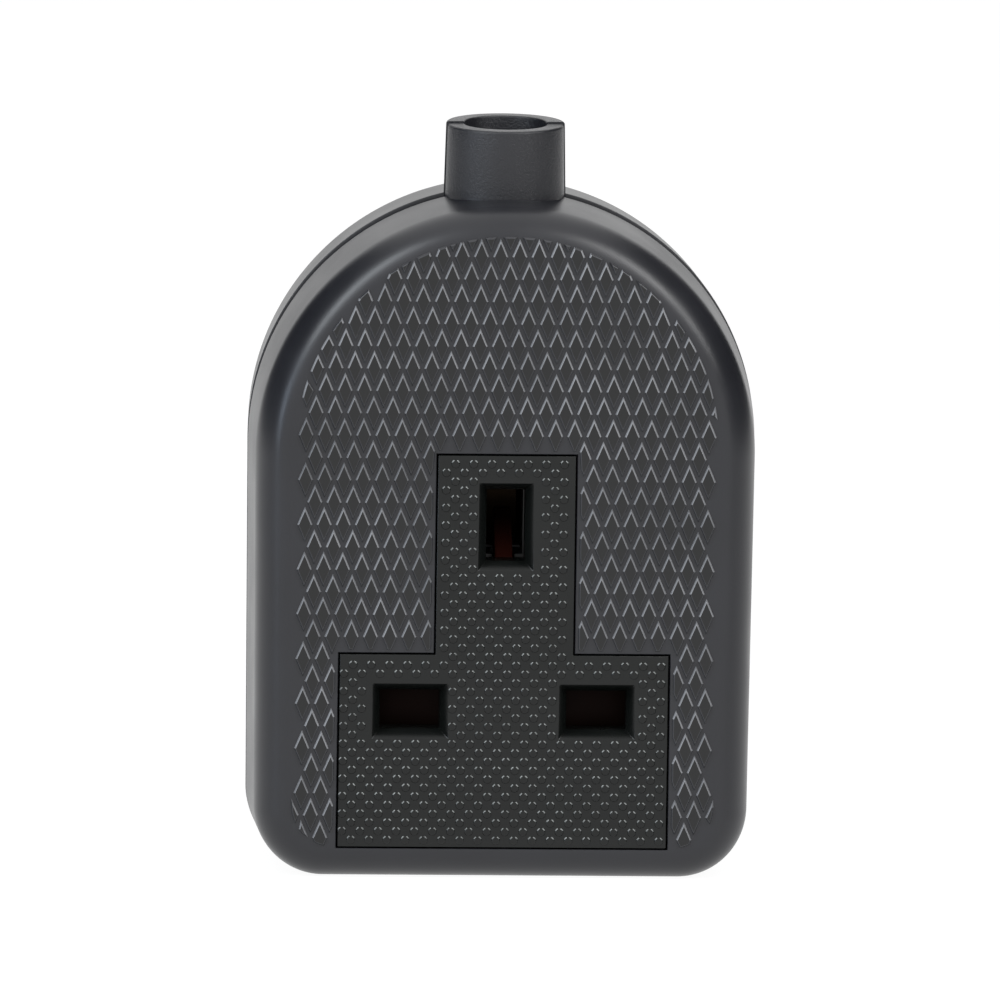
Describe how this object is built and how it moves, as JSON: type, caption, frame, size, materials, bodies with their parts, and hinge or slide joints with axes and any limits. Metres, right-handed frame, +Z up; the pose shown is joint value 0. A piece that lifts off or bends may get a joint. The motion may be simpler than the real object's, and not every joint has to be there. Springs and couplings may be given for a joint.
{
  "type": "trailing socket",
  "caption": "Rewireable in-line mains socket for flat-pin plugs, with a lozenge-textured casing split front and back, a T-shaped insert, a sliding shutter and a split cable neck.",
  "frame": {"origin": "middle of the casing's lower edge, half way through its depth", "axes": "+Z up along the cable neck, -Y out of the socket's face, +X to the right as seen from the front"},
  "size_m": [0.0604, 0.034, 0.0891],
  "materials": {
    "casing": "semi-matt moulded thermoset plastic, bluish black",
    "insert": "satin moulded plastic, neutral black",
    "carrier": "plain moulded plastic, black",
    "shutter": "smooth moulded plastic, dark red-brown",
    "clamp": "plain moulded plastic, black",
    "brass": "bright stamped brass",
    "steel": "zinc-plated steel"
  },
  "bodies": {
    "casing": {"front_cover": "casing", "rear_cover": "casing", "socket_insert": "insert", "contact_carrier": "carrier", "shutter_spring": "steel", "neutral_contact": "brass", "line_contact": "brass", "earth_contact": "brass", "neutral_grip": "steel", "line_grip": "steel", "earth_grip": "steel", "neutral_terminal_screw": "brass", "line_terminal_screw": "brass", "earth_terminal_screw": "brass", "cord_clamp": "clamp", "clamp_screw_left": "steel", "clamp_screw_right": "steel", "carrier_screw_left": "steel", "carrier_screw_right": "steel", "cover_screw_upper_left": "steel", "cover_screw_upper_right": "steel", "cover_screw_lower_left": "steel", "cover_screw_lower_right": "steel"},
    "shutter": {"shutter": "shutter"}
  },
  "joints": [
    {"name": "shutter_slide", "type": "slide", "parent": "casing", "child": "shutter", "axis": [0, 0, -1], "range_m": [0, 0.0053], "stiffness_N_per_m": 100, "springref_m": -0.003, "deforming": ["shutter_spring"]}
  ]
}
